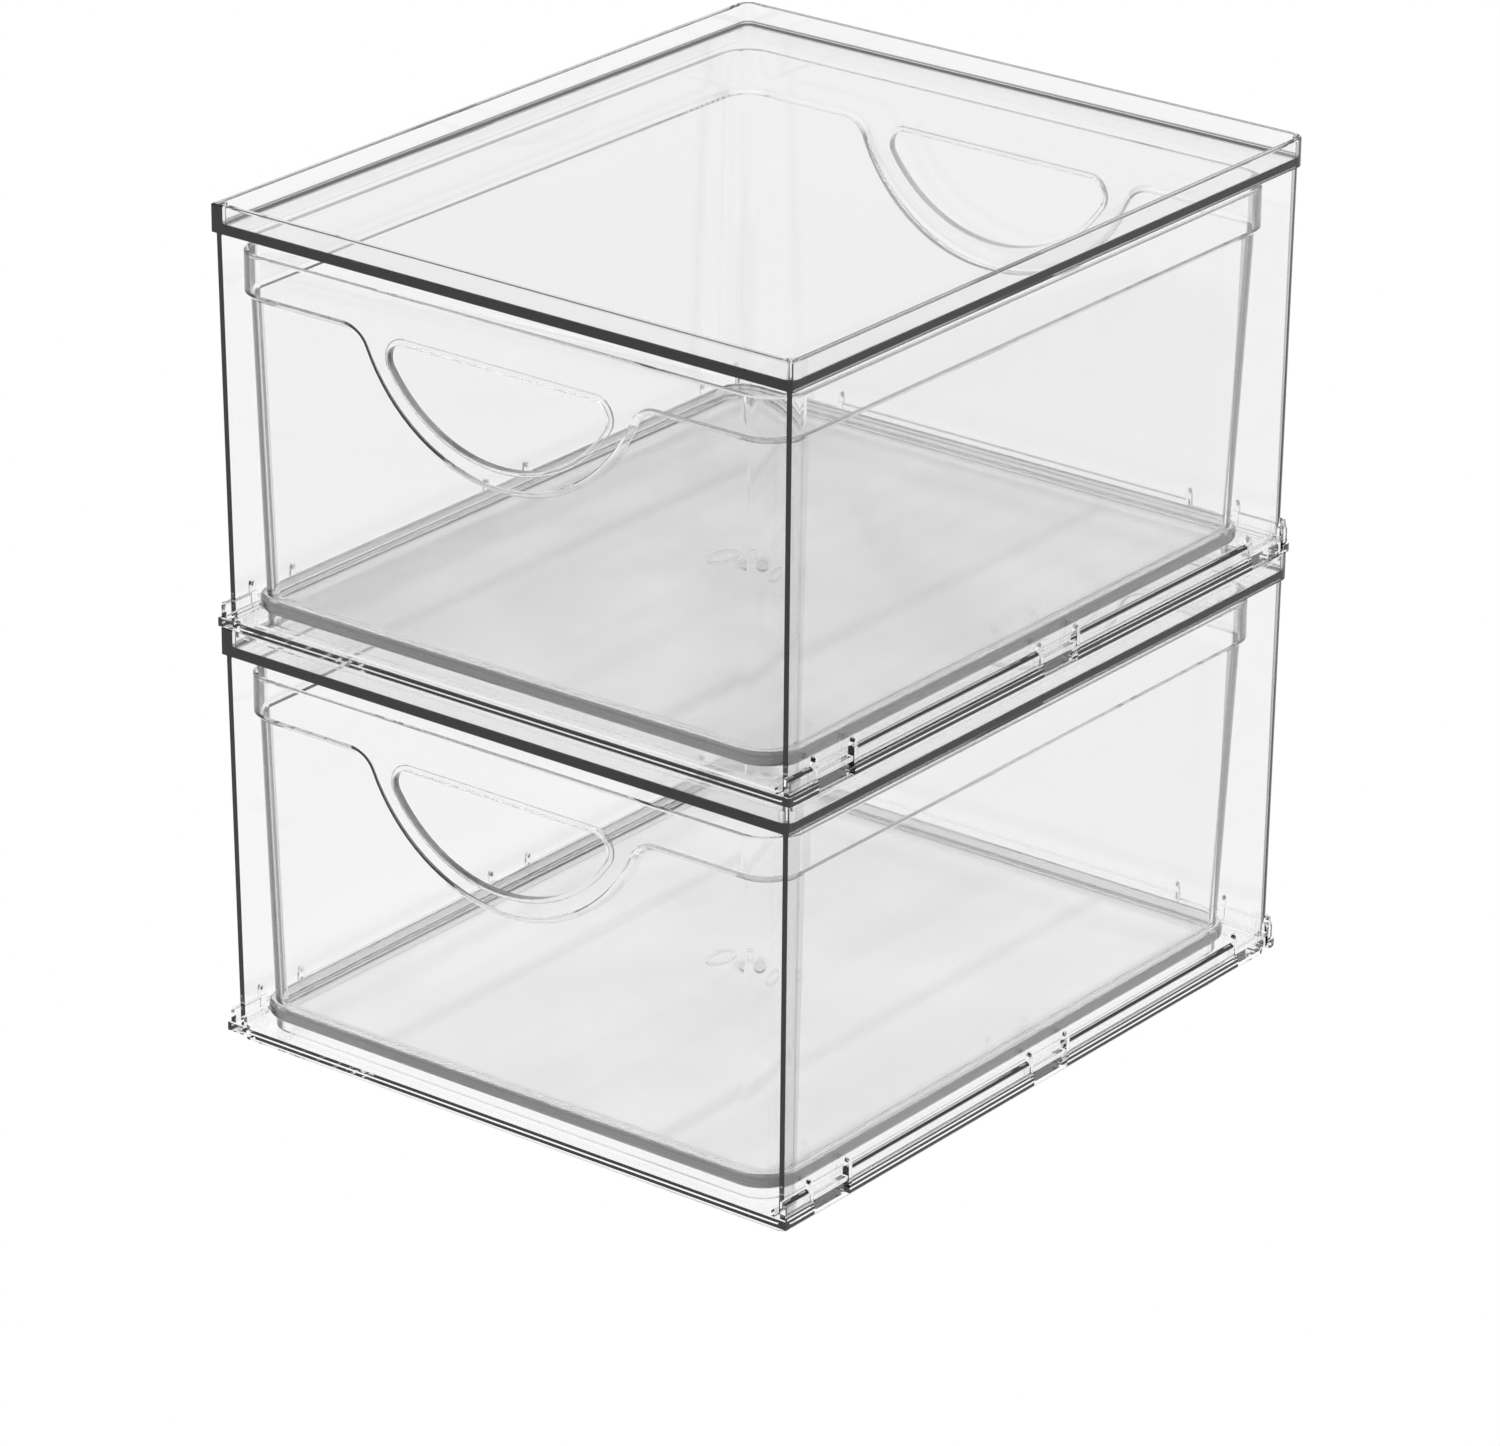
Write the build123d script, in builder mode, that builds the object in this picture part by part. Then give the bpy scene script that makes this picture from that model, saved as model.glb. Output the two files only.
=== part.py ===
from build123d import *
from math import radians, tan
import os

os.makedirs("parts", exist_ok=True)

# Two identical clear storage modules, one stacked on the other. Each has a housing shell, a base tray that clips
# to it, and a pull-out drawer. X runs left to right, -Y is the open front, +Z is up, and the origin is the centre
# of the footprint at the level that the stack stands on. All sizes are in millimetres.

# Module
rim_width = 254.0  # outline of the stacking rim, left to right
rim_depth = 300.0  # outline of the stacking rim, front to back
module_height = 158.0  # underside of the base plate to the top of the stacking rim
locating_depth = 3.6  # how far the base's locating ring drops inside the rim below
locating_thickness = 2.0
locating_clearance = 0.5  # between the locating ring and the rim
stack_gap = 0.3  # between a rim and the base plate that stands on it
corner_radius = 6.0  # rounded back corners
front_radius = 1.0  # nearly sharp front corners

# Housing shell
rim_height = 7.3
rim_thickness = 2.6
rim_rounding = 0.7
panel_thickness = 3.3
wall_thickness = 2.2
wall_inset = 1.2  # wall outer face behind the panel's edge
wall_draft = 0.57  # degrees
wall_fillet = 1.5

# Base tray
base_overhang = 0.75  # base outline beyond the rim outline, each side
plate_thickness = 3.2
ledge = 0.9  # strip of the plate left outside the rail
lip_thickness = 2.3
lip_height = 6.5
lip_rounding = 2.0
inner_lip_thickness = 1.3
inner_lip_height = 3.2
snap_clearance = 0.15

# Snap windows in the rail, with a retaining bar across each and a guide pin at each end
window_length = 20.0
window_bottom = -plate_thickness  # all heights in a window are from the top of the plate
bar_bottom = 1.6
bar_top = 3.4
pin_width = 1.8
pin_depth = 2.2
pin_shoulder = 7.6
pin_top = 10.0
tab_length = 17.0
tab_bottom = -2.8
tab_top = 1.3
tab_reach = 2.1  # hook beyond the wall's outer face
tab_rounding = 1.5
side_windows = (-124.5, 4.5, 133.0)  # centres along Y
back_windows = (-91.0, 91.0)  # centres along X

# Drawer
drawer_width = 241.0  # across the stepped top band
drawer_front_gap = 0.3  # band behind the panel's front edge
drawer_length = 289.0
drawer_radius = 14.0
drawer_wall = 2.2
drawer_play = 0.4  # foot ring above the base plate
headroom = 5.1  # drawer rim below the panel
foot_height = 4.7
foot_thickness = 2.0
floor_thickness = 2.5
floor_fillet = 4.5
bead_height = 5.5
bead_reach = 2.5
bead_rounding = 1.9
band_height = 17.2
band_step = 2.3
band_slope = 2.0
side_lean = 2.4  # how far each wall leans in between the band and the floor
front_lean = 2.5
back_lean = 6.0
edge_rounding = 0.8

# Hand holes in the drawer's front and back walls, with an apron of the band round each
hole_drop = 17.6  # flat top edge below the drawer's rim
hole_chord = 104.0
hole_sagitta = 34.5
hole_rounding = 6.0
hole_lip_width = 2.0
hole_lip_height = 1.2
hole_lip_rounding = 0.5
apron_margin = 9.5
apron_shoulder = 90.0  # half-width of the straight part that joins the apron to the band
apron_blend = 10.0
apron_thickness = 12.0
hollow_rise = 0.6  # the hollow's step above the outside's, which keeps the sloped wall its thickness

# Moulding marks in the middle of the drawer's floor
gate_radius = 4.5
gate_height = 0.8
mark_length = 15.0
mark_width = 9.0
mark_offset = 14.0

# Derived sizes, shared by the pieces
base_width = rim_width + 2 * base_overhang
base_depth = rim_depth + 2 * base_overhang
panel_top = module_height - rim_height
panel_bottom = panel_top - panel_thickness
wall_bottom = plate_thickness + snap_clearance
drawer_bottom = plate_thickness + drawer_play
drawer_floor = drawer_bottom + foot_height
drawer_rim = panel_bottom - headroom
drawer_front = -rim_depth / 2 + drawer_front_gap
drawer_back = drawer_front + drawer_length
drawer_middle = (drawer_front + drawer_back) / 2
wall_foot = base_overhang + wall_inset + tan(radians(wall_draft)) * (panel_bottom - wall_bottom)
hole_radius = (hole_chord**2 / 4 + hole_sagitta**2) / (2 * hole_sagitta)
hole_edge = drawer_rim - hole_drop
hole_centre = hole_edge - hole_sagitta + hole_radius


def outline(width, depth, back_radius, edge_radius=0.0):
    """Sketch a footprint whose back corners are rounder than its front ones."""
    Rectangle(width, depth)
    corners = vertices().sort_by(Axis.Y)
    fillet(corners[2:], radius=back_radius)
    if edge_radius:
        fillet(corners[:2], radius=edge_radius)


def closed_ring(width, depth, thickness, radius):
    """Sketch a closed ring of one thickness, just inside a footprint."""
    outline(width, depth, radius, front_radius)
    inner_radius = max(radius - thickness, front_radius)
    RectangleRounded(width - 2 * thickness, depth - 2 * thickness, inner_radius, mode=Mode.SUBTRACT)


def open_ring(inset, thickness, radius):
    """Sketch a rail in plan: along the left, back and right of the base, and open at the front."""
    front = ledge - base_depth / 2
    back = base_depth / 2 - inset
    with Locations((0, (front + back) / 2)):
        outline(base_width - 2 * inset, back - front, radius)
    run_out = front - 2 * corner_radius
    with Locations((0, (run_out + back - thickness) / 2)):
        RectangleRounded(
            base_width - 2 * inset - 2 * thickness,
            back - thickness - run_out,
            radius - thickness,
            mode=Mode.SUBTRACT,
        )


def window_planes(seat):
    """Planes on the base's outline at the top of its plate, one at each snap window, facing outwards."""
    height = seat + plate_thickness
    planes = []
    for side in (-1, 1):
        for centre in side_windows:
            origin = (side * base_width / 2, centre, height)
            planes.append(Plane(origin=origin, x_dir=(0, side, 0), z_dir=(side, 0, 0)))
    for centre in back_windows:
        planes.append(Plane(origin=(centre, base_depth / 2, height), x_dir=(-1, 0, 0), z_dir=(0, 1, 0)))
    return planes


def inside_corner(edge):
    """Whether an edge lies where the inner face of a shell wall meets the panel."""
    centre = edge.center()
    inner_side = rim_width / 2 - wall_inset - wall_thickness + 0.1
    inner_back = rim_depth / 2 - wall_inset - wall_thickness + 0.1
    return abs(centre.X) < inner_side and -inner_back < centre.Y < inner_back


def housing_shell(seat, name):
    """Top panel with its stacking rim, three drafted walls, and the snap tabs that hold the base."""
    under_panel = Plane.XY.offset(seat + panel_bottom)
    wall_height = panel_bottom - wall_bottom
    with BuildPart() as shell:
        with BuildSketch(under_panel):
            outline(rim_width, rim_depth, corner_radius, front_radius)
        extrude(amount=panel_thickness)
        with BuildSketch(Plane.XY.offset(seat + panel_top)):
            closed_ring(rim_width, rim_depth, rim_thickness, corner_radius)
        extrude(amount=rim_height)
        fillet(shell.edges().group_by(Axis.Z)[-1], radius=rim_rounding)

        # Walls: a drafted block, hollowed by a drafted block that runs out of the open front
        outer_width = rim_width - 2 * wall_inset
        outer_depth = rim_depth - 2 * wall_inset
        run_out = 4 * corner_radius
        with BuildSketch(under_panel):
            outline(outer_width, outer_depth, corner_radius - wall_inset)
        extrude(amount=-wall_height, taper=wall_draft)
        with BuildSketch(under_panel):
            with Locations((0, -(wall_thickness + run_out) / 2)):
                outline(
                    outer_width - 2 * wall_thickness,
                    outer_depth - wall_thickness + run_out,
                    corner_radius - wall_inset - wall_thickness,
                )
        extrude(amount=-wall_height, taper=wall_draft, mode=Mode.SUBTRACT)
        at_panel = shell.edges().filter_by_position(Axis.Z, seat + panel_bottom, seat + panel_bottom)
        fillet(at_panel.filter_by(inside_corner), radius=wall_fillet)

        # Snap tabs, which reach down through the base plate and hook under the bars
        for plane in window_planes(seat):
            with BuildSketch(plane.offset(tab_reach - wall_foot)):
                with Locations((0, (tab_top + tab_bottom) / 2)):
                    RectangleRounded(tab_length, tab_top - tab_bottom, tab_rounding)
            extrude(amount=-(tab_reach + wall_thickness))
    shell.part.label = name
    export_step(shell.part, f"parts/{name}.step")


def outside_lip(edge):
    """Whether an edge runs along the outer face of the outer lip."""
    across = base_width / 2 - ledge - abs(edge.center().X)
    along = base_depth / 2 - ledge - edge.center().Y
    return min(across, along) < 0.1 or max(across, along) < lip_thickness


def base_tray(seat, name):
    """Floor plate on a locating ring, with rails for the shell's walls and windows for its snap tabs."""
    top_of_plate = Plane.XY.offset(seat + plate_thickness)
    ring_inset = base_overhang + rim_thickness + locating_clearance
    channel_inset = wall_foot + wall_thickness + snap_clearance
    with BuildPart() as tray:
        with BuildSketch(Plane.XY.offset(seat - locating_depth)):
            RectangleRounded(base_width - 2 * ring_inset, base_depth - 2 * ring_inset, corner_radius / 2)
            offset(amount=-locating_thickness, mode=Mode.SUBTRACT)
        extrude(amount=locating_depth)
        with BuildSketch(Plane.XY.offset(seat)):
            outline(base_width, base_depth, corner_radius, front_radius)
        extrude(amount=plate_thickness)

        # Rails: an outer lip, rounded along its top, and a lower inner lip, with the walls' channel between
        with BuildSketch(top_of_plate):
            open_ring(ledge, lip_thickness, corner_radius - ledge)
        extrude(amount=lip_height)
        fillet(tray.edges().group_by(Axis.Z)[-1].filter_by(outside_lip), radius=lip_rounding)
        with BuildSketch(top_of_plate):
            open_ring(channel_inset, inner_lip_thickness, corner_radius / 2)
        extrude(amount=inner_lip_height)

        # Snap windows, each with its retaining bar and a pointed pin at either end
        pin_offset = (window_length + pin_width) / 2
        for plane in window_planes(seat):
            with BuildSketch(plane.offset(ledge)):
                with Locations((0, (window_bottom + pin_top) / 2)):
                    Rectangle(window_length, pin_top - window_bottom)
            extrude(amount=-(ledge + channel_inset), mode=Mode.SUBTRACT)
            with BuildSketch(plane.offset(-ledge)):
                with Locations((0, (bar_top + bar_bottom) / 2)):
                    Rectangle(window_length + pin_width, bar_top - bar_bottom)
            extrude(amount=-lip_thickness)
            with BuildSketch(plane.offset(-ledge / 2)):
                with Locations((-pin_offset, 0), (pin_offset, 0)):
                    Polygon(
                        (-pin_width / 2, window_bottom),
                        (pin_width / 2, window_bottom),
                        (pin_width / 2, pin_shoulder),
                        (pin_width / 6, pin_top),
                        (-pin_width / 6, pin_top),
                        (-pin_width / 2, pin_shoulder),
                        align=None,
                    )
            extrude(amount=-pin_depth)
    tray.part.label = name
    export_step(tray.part, f"parts/{name}.step")


def drawer_section(inset, share):
    """Sketch the drawer's wall in plan at an inset, a share of the way down from the band to the floor."""
    with Locations((0, drawer_middle + share * (front_lean - back_lean) / 2)):
        RectangleRounded(
            drawer_width - 2 * (band_step + inset + share * side_lean),
            drawer_length - 2 * (band_step + inset) - share * (front_lean + back_lean),
            drawer_radius - band_step - inset,
        )


def face_planes(height, inset):
    """Planes on the band's front and back faces at an inset, facing outwards."""
    front = Plane(origin=(0, drawer_front + inset, height), x_dir=(1, 0, 0), z_dir=(0, -1, 0))
    back = Plane(origin=(0, drawer_back - inset, height), x_dir=(-1, 0, 0), z_dir=(0, 1, 0))
    return front, back


def segment(radius, level):
    """Sketch the part of a disc round the hand hole's centre that lies below a level."""
    with Locations((0, hole_centre)):
        Circle(radius)
    with Locations((0, level)):
        Rectangle(2 * radius, 2 * radius, align=(Align.CENTER, Align.MAX), mode=Mode.INTERSECT)


def bin_form(seat, inset, rise, floor, over):
    """The drawer's outside as a solid or, at an inset, its hollow, from a floor level to over the rim."""
    band_foot = drawer_rim - band_height + rise
    front = drawer_front + inset
    back = drawer_back - inset

    def on_band(edge):
        """Whether an edge is at the foot of the band or of an apron, on its outer face."""
        centre = edge.center()
        outward = abs(centre.X) > apron_shoulder or not front + 0.01 < centre.Y < back - 0.01
        return outward and centre.Z < seat + band_foot + 0.01

    with BuildPart() as form:
        with BuildSketch(Plane.XY.offset(seat + band_foot)):
            with Locations((0, drawer_middle)):
                RectangleRounded(drawer_width - 2 * inset, back - front, drawer_radius - inset)
        extrude(amount=drawer_rim - band_foot + over)
        for plane in face_planes(seat, inset):
            with BuildSketch(plane):
                segment(hole_radius + apron_margin - rise, drawer_rim - band_height / 2)
                with Locations((0, band_foot)):
                    Rectangle(2 * apron_shoulder, band_height / 2, align=(Align.CENTER, Align.MIN))
                hollows = vertices().filter_by(lambda corner: abs(corner.X) < apron_shoulder - 1)
                fillet(hollows.filter_by(lambda corner: corner.Y < band_foot + 1), radius=apron_blend)
            extrude(amount=-apron_thickness)
        chamfer(form.edges().filter_by(on_band), length=band_slope)

        with BuildSketch(Plane.XY.offset(seat + band_foot)):
            drawer_section(inset, 0)
        with BuildSketch(Plane.XY.offset(seat + floor)):
            drawer_section(inset, 1)
        loft(ruled=True)
        if inset:
            fillet(form.edges().group_by(Axis.Z)[0], radius=floor_fillet)
    return form.part


def pull_out_drawer(seat, name):
    """Bin with a stepped band, a hand hole at each end, a beaded floor, and a foot ring that it slides on."""
    outside = bin_form(seat, 0, 0, drawer_floor, 0)
    hollow = bin_form(seat, drawer_wall, hollow_rise, drawer_floor + floor_thickness, 1)

    def hand_hole(edge):
        """Whether an edge on a face of the band bounds a hand hole."""
        centre = edge.center()
        level = centre.Z - seat
        return abs(centre.X) < hole_chord / 2 + 1 and hole_edge - hole_sagitta - 1 < level < hole_edge + 1

    with BuildPart() as bead:
        with BuildSketch(Plane.XY.offset(seat + drawer_floor)):
            drawer_section(-bead_reach, 1)
        extrude(amount=bead_height)
        fillet(bead.edges().group_by(Axis.Z)[0] + bead.edges().group_by(Axis.Z)[-1], radius=bead_rounding)
    with BuildPart() as drawer:
        add(outside)
        add(bead.part)
        add(hollow, mode=Mode.SUBTRACT)
        fillet(drawer.edges().group_by(Axis.Z)[-1], radius=edge_rounding)
        with BuildSketch(Plane.XY.offset(seat + drawer_bottom)):
            drawer_section(0, 1)
            offset(amount=-foot_thickness, mode=Mode.SUBTRACT)
        extrude(amount=foot_height)

        # Hand holes, each in a raised lip on the inside of its wall
        for plane in face_planes(seat, drawer_wall):
            with BuildSketch(plane):
                segment(hole_radius + hole_lip_width, hole_edge + hole_lip_width)
                fillet(vertices(), radius=hole_rounding + hole_lip_width)
            extrude(amount=-hole_lip_height)
        for plane in face_planes(seat, 0):
            with BuildSketch(plane):
                segment(hole_radius, hole_edge)
                fillet(vertices(), radius=hole_rounding)
            extrude(amount=-apron_thickness, mode=Mode.SUBTRACT)
        for end in (-1, 1):
            inner_face = drawer_middle + end * (drawer_length / 2 - drawer_wall - hole_lip_height)
            outer_face = drawer_middle + end * drawer_length / 2
            inner_edges = drawer.edges().filter_by_position(Axis.Y, inner_face, inner_face)
            outer_edges = drawer.edges().filter_by_position(Axis.Y, outer_face, outer_face)
            fillet(inner_edges + outer_edges.filter_by(hand_hole), radius=hole_lip_rounding)

        # Moulding marks under the floor: a round gate and two oval outlines
        with BuildSketch(Plane.XY.offset(seat + drawer_floor)):
            with Locations((0, drawer_middle)):
                Circle(gate_radius)
            with Locations((-mark_offset, drawer_middle), (mark_offset, drawer_middle)):
                Ellipse(mark_width / 2, mark_length / 2)
                Ellipse(mark_width / 2 - 1, mark_length / 2 - 1, mode=Mode.SUBTRACT)
        extrude(amount=-gate_height)
    drawer.part.label = name
    export_step(drawer.part, f"parts/{name}.step")


for level, seat in (("lower", locating_depth), ("upper", locating_depth + module_height + stack_gap)):
    housing_shell(seat, f"{level}_housing_shell")
    base_tray(seat, f"{level}_base_tray")
    pull_out_drawer(seat, f"{level}_drawer")
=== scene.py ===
import math
import bpy
from mathutils import Matrix, Vector


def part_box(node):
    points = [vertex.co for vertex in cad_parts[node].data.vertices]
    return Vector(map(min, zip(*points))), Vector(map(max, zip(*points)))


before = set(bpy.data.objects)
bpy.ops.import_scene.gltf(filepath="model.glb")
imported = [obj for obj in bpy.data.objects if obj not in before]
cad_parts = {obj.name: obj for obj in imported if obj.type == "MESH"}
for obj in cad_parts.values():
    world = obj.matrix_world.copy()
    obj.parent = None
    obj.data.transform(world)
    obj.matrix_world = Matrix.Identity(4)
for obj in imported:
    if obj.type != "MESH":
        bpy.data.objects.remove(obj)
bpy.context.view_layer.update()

scene = bpy.context.scene
scene.view_settings.view_transform = "Standard"
scene.cycles.max_bounces = 26
scene.cycles.transmission_bounces = 26
scene.cycles.glossy_bounces = 16
scene.cycles.transparent_max_bounces = 16
scene.cycles.caustics_reflective = True
scene.cycles.caustics_refractive = True

# Camera: the direction that it looks from, the point that it looks at, and its lens
AZIMUTH, ELEVATION, ROLL = map(math.radians, (37.81, 23.15, 0.39))
TARGET = Vector((0.0076, -0.0178, 0.1164))
DISTANCE = 2.6
LENS = 173.7
SENSOR = 36
FAR = 50

# Clear plastic
REFRACTION = 1.53
GLOSS = (0.004, 0.03)  # roughness where the surface is cleanest and dullest
GRAZING = (0.7, 0.97)  # how edge-on a surface is where its painted shade starts and ends
CORNER_TURN = (0.4, 0.54)  # the same, for the outlines of the rounded corners
CORNER_UPRIGHT = (0.2, 0.35)  # how far a surface may face up or down and still count as a corner's
# Painted shade: the grey level painted on the outlines of the rounded corners
CORNER_PAINTED_SHADE = 0.03
PANEL_EDGE = (0.0108, 0.0071)  # bottom and top of the panel, down from the rim
PANEL_UPRIGHT = (0.3, 0.5)
# Painted shade: the grey level painted on the edge of the top panel
PANEL_EDGE_PAINTED_SHADE = 0.14
RIPPLE_STRENGTH = 0.06
RIPPLE_HEIGHT = 0.0004
POLISH_REFRACTION = 2.2
POLISH_ROUGHNESS = 0.12
# For each kind of piece: absorption per metre, painted shade of grazing surfaces, and reach of the rounded
# corners
FINISHES_AND_PAINTED_SHADE = {"shell": (16.0, 0.3, 0.008), "tray": (2.0, 0.45, 0.006), "drawer": (2.5, 0.5, 0.0185)}

# Drawer: places in from its sides, out from its middle, or up from the bottom of its foot ring
FLOOR_INSET = 0.0125
BACK_LEAN = 0.004  # how much further in the floor ends at the back
FLOOR_TOP = 0.0085
FLOOR_GRAIN = (0.11, 0.17)
FLOW_LINE = 0.062
GATE = (0.003, 0.009)
BEAD = (0.0042, 0.0108)
BEAD_CLARITY = 0.8
BEAD_ROUGHNESS = 0.07
SLOPE = (0.06, 0.13)
SLOPE_TILT = (0.25, 0.95)  # how far a slope faces up or down, between a wall and a level surface
HOLE = (0.0855, 0.1225)
HOLE_HALF = 0.0535
END_WALL = 0.115
# Painted shade on the cut faces of the hand holes
CUT_PAINTED_SHADE = 0.08
CUT_ROUGHNESS = 0.02

# Floor and studio
FLOOR_HALF = 40.0
FLOOR_DROP = 0.0002
ROOM_LIGHT = 0.2
# How far a direction points at the unlit side where its dark starts and where it is full, and its span of heights
ROOM_START, ROOM_FULL = -0.1, 0.4
ROOM_LOW, ROOM_HIGH, ROOM_EDGE = -0.12, 0.55, 0.12
# Brightness from straight down, at 0, through the horizon, at 0.5, to straight up, at 1
SKY = ((0.0, 0.85), (0.15, 0.95), (0.25, 1.0), (0.5, 0.97), (0.62, 0.93), (0.8, 1.0), (1.0, 1.4))


class Tree:
    """A node tree, with short calls that add nodes and link them."""

    def __init__(self, owner):
        owner.use_nodes = True
        self.tree = owner.node_tree
        self.tree.nodes.clear()

    def node(self, kind, inputs=(), **settings):
        """Add a node; each input is a socket to link from or a value to set."""
        made = self.tree.nodes.new(kind)
        for key, value in settings.items():
            setattr(made, key, value)
        for key, value in dict(inputs).items():
            if isinstance(value, bpy.types.NodeSocket):
                self.tree.links.new(value, made.inputs[key])
            else:
                made.inputs[key].default_value = value
        return made

    def math(self, operation, a, b=0.0):
        return self.node("ShaderNodeMath", {0: a, 1: b}, operation=operation).outputs[0]

    def distance(self, a, b=0.0):
        """How far apart two values are."""
        return self.math("ABSOLUTE", self.math("SUBTRACT", a, b))

    def product(self, first, *others):
        for other in others:
            first = self.math("MULTIPLY", first, other)
        return first

    def smooth(self, value, low, high, to_low=0.0, to_high=1.0):
        """A smooth step from to_low at low to to_high at high."""
        return self.node(
            "ShaderNodeMapRange",
            {"Value": value, "From Min": low, "From Max": high, "To Min": to_low, "To Max": to_high},
            interpolation_type="SMOOTHSTEP",
        ).outputs[0]

    def band(self, value, low, high, edge):
        """One between low and high, with a smooth edge inside each."""
        return self.product(
            self.smooth(value, low, low + edge),
            self.smooth(value, high - edge, high, 1.0, 0.0),
        )

    def mix(self, share, a, b):
        return self.node("ShaderNodeMix", {0: share, 2: a, 3: b}).outputs[0]

    def noise(self, place, scale, detail, roughness):
        inputs = {"Vector": place, "Scale": scale, "Detail": detail, "Roughness": roughness}
        return self.node("ShaderNodeTexNoise", inputs).outputs["Fac"]

    def split(self, vector):
        """The X, Y and Z of a vector."""
        return self.node("ShaderNodeSeparateXYZ", {"Vector": vector}).outputs

    def ramp(self, value, stops):
        """A grey level that follows stops of (position, level)."""
        made = self.node("ShaderNodeValToRGB", {"Fac": value})
        elements = made.color_ramp.elements
        for element, (position, level) in zip(elements, (stops[0], stops[-1])):
            element.position = position
            element.color = (level, level, level, 1)
        for position, level in stops[1:-1]:
            elements.new(position).color = (level, level, level, 1)
        return made.outputs[0]

    def finish(self, output, **shaders):
        """Link shader nodes to the sockets of an output node."""
        end = self.node(output)
        for socket, shader in shaders.items():
            self.tree.links.new(shader.outputs[0], end.inputs[socket])


class Plastic:
    """The clear plastic of one shell, tray or drawer, worked out from where its surface lies and faces, with
    painted shade in its base colour.
    """

    def __init__(self, name, kind, box):
        self.absorption, grazing_painted_shade, self.corner_reach = FINISHES_AND_PAINTED_SHADE[kind]
        self.low, self.high = box
        self.material = bpy.data.materials.new(name)
        self.tree = tree = Tree(self.material)
        self.place = tree.node("ShaderNodeTexCoord").outputs["Object"]
        self.axes = tree.split(self.place)
        normal = tree.split(tree.node("ShaderNodeNewGeometry").outputs["Normal"])
        self.across, self.along = tree.distance(self.axes[0]), tree.distance(self.axes[1], self.middle())
        self.facing_along, self.facing_up = tree.distance(normal[1]), tree.distance(normal[2])
        self.edge_on = tree.node("ShaderNodeLayerWeight", {"Blend": 0.5}).outputs["Facing"]
        self.smudges = tree.noise(self.place, 14.0, 3.0, 0.55)
        self.roughness = tree.smooth(self.smudges, 0.35, 0.75, *GLOSS)
        # Painted shade: the base colour darkens where the surface is seen edge-on
        self.level = tree.smooth(self.edge_on, *GRAZING, 1.0, grazing_painted_shade)
        self.clarity = 1.0
        self.polish = 0.0
        self.add_painted_corner_shade()
        if kind == "shell":
            self.add_panel_edge_painted_shade()
        if kind == "drawer":
            self.add_floor()
            self.add_slopes_and_holes()
        self.add_shader()

    def middle(self):
        return (self.low[1] + self.high[1]) / 2

    def add_painted_corner_shade(self):
        """Rounded upright corners bend what is behind them so far that their outlines look dark; that dark
        outline is painted shade in the base colour.
        """
        tree = self.tree
        corner = tree.product(
            tree.math("GREATER_THAN", self.across, self.high[0] - self.corner_reach),
            tree.math("GREATER_THAN", self.along, self.high[1] - self.middle() - self.corner_reach),
            tree.smooth(self.facing_up, *CORNER_UPRIGHT, 1.0, 0.0),
            tree.smooth(self.edge_on, *CORNER_TURN),
        )
        self.level = tree.mix(corner, self.level, CORNER_PAINTED_SHADE)

    def add_panel_edge_painted_shade(self):
        """The edge of the top panel shows the plastic's whole width, and looks nearly black; that near black is
        painted shade in the base colour.
        """
        tree = self.tree
        bottom, top = (self.high[2] - drop for drop in PANEL_EDGE)
        edge = tree.product(
            tree.smooth(self.facing_up, *PANEL_UPRIGHT, 1.0, 0.0),
            tree.band(self.axes[2], bottom, top, 0.0002),
        )
        self.level = tree.mix(edge, self.level, PANEL_EDGE_PAINTED_SHADE)

    def add_floor(self):
        """A drawer's fine floor texture, with soft streaks of painted shade, flow lines and a smudge round the
        gate, and its satin bead.
        """
        tree = self.tree
        height = tree.math("SUBTRACT", self.axes[2], self.low[2])
        inside = 1.0
        for axis in (0, 1):
            start = self.low[axis] + FLOOR_INSET
            end = self.high[axis] - FLOOR_INSET - axis * BACK_LEAN
            inside = tree.product(inside, tree.band(self.axes[axis], start, end, 0.004))
        textured = tree.product(inside, tree.smooth(height, FLOOR_TOP, FLOOR_TOP + 0.001, 1.0, 0.0))
        grain = tree.smooth(self.smudges, 0.3, 0.7, *FLOOR_GRAIN)
        self.roughness = tree.mix(textured, self.roughness, grain)

        # Soft streaks of painted shade on the floor; the flow line and the smudge round the gate are marks of the
        # moulding
        stretch = tree.node("ShaderNodeMapping", {"Vector": self.place, "Scale": (1.0, 0.05, 1.0)})
        painted_shade_streaks = tree.noise(stretch.outputs[0], 30.0, 2.0, 0.5)
        from_line = tree.distance(self.across, FLOW_LINE)
        from_gate = tree.node(
            "ShaderNodeVectorMath",
            {0: tree.node("ShaderNodeCombineXYZ", {0: self.across, 1: self.along}).outputs[0]},
            operation="LENGTH",
        ).outputs["Value"]
        # The floor's base colour: painted shade streaks, times the darker flow line and gate smudge
        painted_streaks_and_marks = tree.product(
            tree.smooth(painted_shade_streaks, 0.35, 0.65, 0.9, 0.97),
            tree.smooth(from_line, 0.001, 0.006, 0.9, 1.0),
            tree.smooth(from_gate, *GATE, 0.8, 1.0),
        )
        self.level = tree.mix(textured, self.level, painted_streaks_and_marks)

        bead = tree.product(tree.math("SUBTRACT", 1.0, inside), tree.band(height, *BEAD, 0.0008))
        self.clarity = tree.mix(bead, 1.0, BEAD_CLARITY)
        self.roughness = tree.mix(bead, self.roughness, BEAD_ROUGHNESS)

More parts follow.
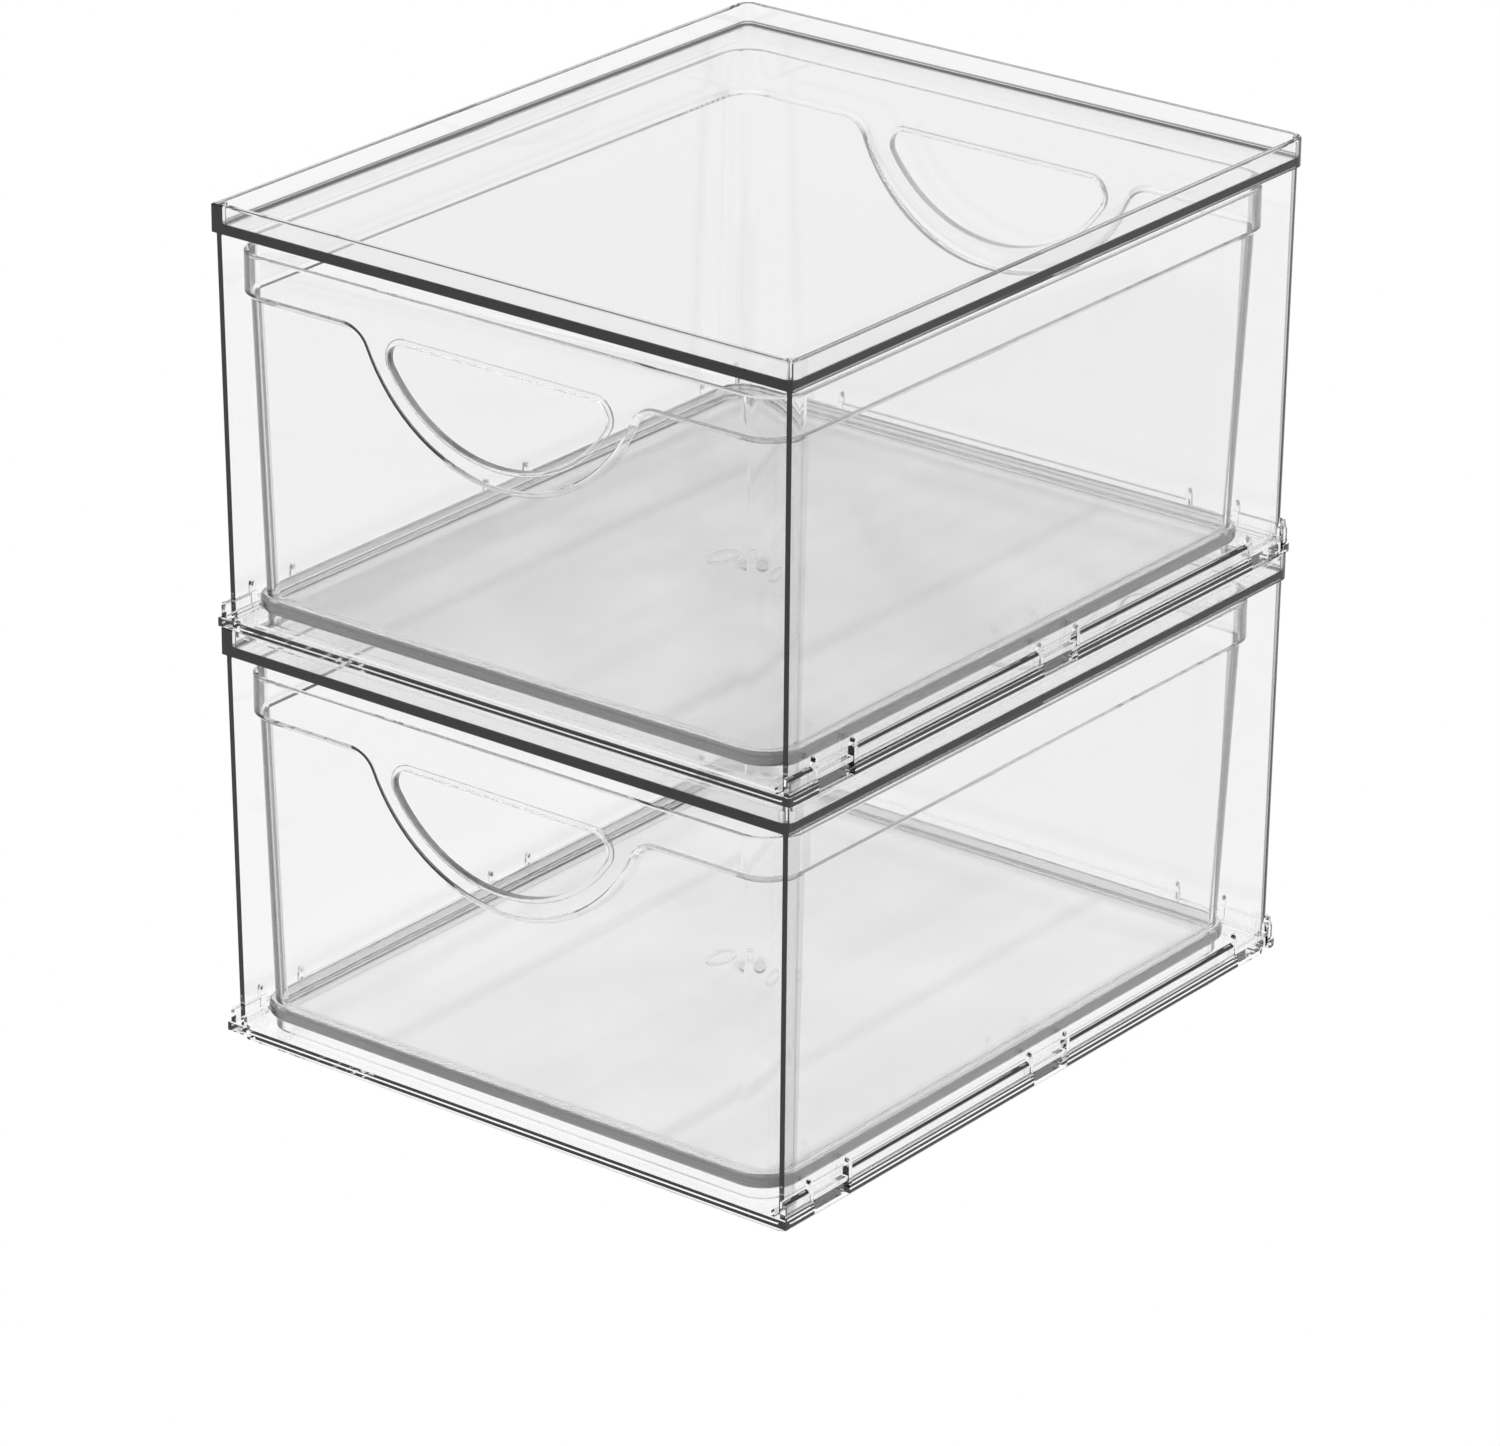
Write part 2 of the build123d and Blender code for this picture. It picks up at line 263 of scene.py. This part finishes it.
    def add_slopes_and_holes(self):
        """Polished slopes under the band and the aprons, and painted shade on the cut faces of the hand holes."""
        tree = self.tree
        height = tree.math("SUBTRACT", self.axes[2], self.low[2])
        self.polish = tree.product(
            tree.band(self.facing_up, *SLOPE_TILT, 0.1),
            tree.band(height, *SLOPE, 0.001),
        )
        cut = tree.product(
            tree.smooth(self.facing_along, 0.3, 0.6, 1.0, 0.0),
            tree.smooth(self.across, HOLE_HALF, HOLE_HALF + 0.001, 1.0, 0.0),
            tree.band(height, *HOLE, 0.0008),
            tree.smooth(self.along, END_WALL, END_WALL + 0.005),
        )
        # Painted shade on the hand holes' cut faces
        self.level = tree.mix(cut, self.level, CUT_PAINTED_SHADE)
        self.roughness = tree.mix(cut, self.roughness, CUT_ROUGHNESS)

    def add_shader(self):
        tree = self.tree
        waves = tree.noise(self.place, 26.0, 1.0, 0.4)
        bump = tree.node("ShaderNodeBump", {
            "Strength": RIPPLE_STRENGTH,
            "Distance": RIPPLE_HEIGHT,
            "Height": waves,
        })
        surface = tree.node("ShaderNodeBsdfPrincipled", {
            "Base Color": self.level,
            "Transmission Weight": self.clarity,
            "IOR": REFRACTION,
            "Roughness": self.roughness,
            "Normal": bump.outputs[0],
            "Coat Weight": self.polish,
            "Coat IOR": POLISH_REFRACTION,
            "Coat Roughness": POLISH_ROUGHNESS,
        })
        volume = tree.node("ShaderNodeVolumeAbsorption", {"Color": (0, 0, 0, 1), "Density": self.absorption})
        tree.finish("ShaderNodeOutputMaterial", Surface=surface, Volume=volume)


def make_camera():
    back = Vector((
        math.sin(AZIMUTH) * math.cos(ELEVATION),
        -math.cos(AZIMUTH) * math.cos(ELEVATION),
        math.sin(ELEVATION),
    ))
    camera = bpy.data.objects.new("Camera", bpy.data.cameras.new("Camera"))
    scene.collection.objects.link(camera)
    camera.data.lens = LENS
    camera.data.sensor_width = SENSOR
    camera.data.clip_end = FAR
    camera.location = TARGET + back * DISTANCE
    turn = (-back).to_track_quat("-Z", "Y").to_matrix()
    camera.rotation_euler = (turn @ Matrix.Rotation(ROLL, 3, "Z")).to_euler()
    scene.camera = camera


def make_floor():
    """The white sheet that only the camera sees; the light on the object comes from the studio."""
    corners = [(x * FLOOR_HALF, y * FLOOR_HALF, 0) for x, y in ((-1, -1), (1, -1), (1, 1), (-1, 1))]
    mesh = bpy.data.meshes.new("floor")
    mesh.from_pydata(corners, [], [(0, 1, 2, 3)])
    floor = bpy.data.objects.new("floor", mesh)
    floor.location.z = -FLOOR_DROP
    scene.collection.objects.link(floor)
    for ray in ("diffuse", "glossy", "transmission", "volume_scatter", "shadow"):
        setattr(floor, f"visible_{ray}", False)
    material = bpy.data.materials.new("floor")
    tree = Tree(material)
    tree.finish("ShaderNodeOutputMaterial", Surface=tree.node("ShaderNodeEmission", {"Strength": 1.0}))
    mesh.materials.append(material)


def make_studio():
    """A white sweep, a softbox overhead, and one unlit side from near the horizon up to the softbox.

    The studio is fixed in the room, with its unlit side on the front right.
    """
    scene.world = bpy.data.worlds.new("studio")
    tree = Tree(scene.world)
    direction = tree.node("ShaderNodeTexCoord").outputs["Generated"]
    height = tree.split(direction)[2]
    unlit = (math.sin(AZIMUTH), -math.cos(AZIMUTH), 0.0)
    towards = tree.node("ShaderNodeVectorMath", {0: direction, 1: unlit}, operation="DOT_PRODUCT")
    room = tree.product(
        tree.smooth(towards.outputs["Value"], ROOM_START, ROOM_FULL),
        tree.band(height, ROOM_LOW, ROOM_HIGH, ROOM_EDGE),
    )
    share = tree.node("ShaderNodeMapRange", {"Value": height, "From Min": -1.0, "From Max": 1.0})
    light = tree.product(tree.ramp(share.outputs[0], SKY), tree.mix(room, 1.0, ROOM_LIGHT))
    seen = tree.node("ShaderNodeLightPath").outputs["Is Camera Ray"]
    background = tree.node("ShaderNodeBackground", {"Color": tree.mix(seen, light, 1.0)})
    tree.finish("ShaderNodeOutputWorld", Surface=background)


make_camera()
for name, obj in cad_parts.items():
    plastic = Plastic(f"clear_{name}", name.split("_")[-1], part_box(name))
    obj.data.materials.clear()
    obj.data.materials.append(plastic.material)
make_floor()
make_studio()
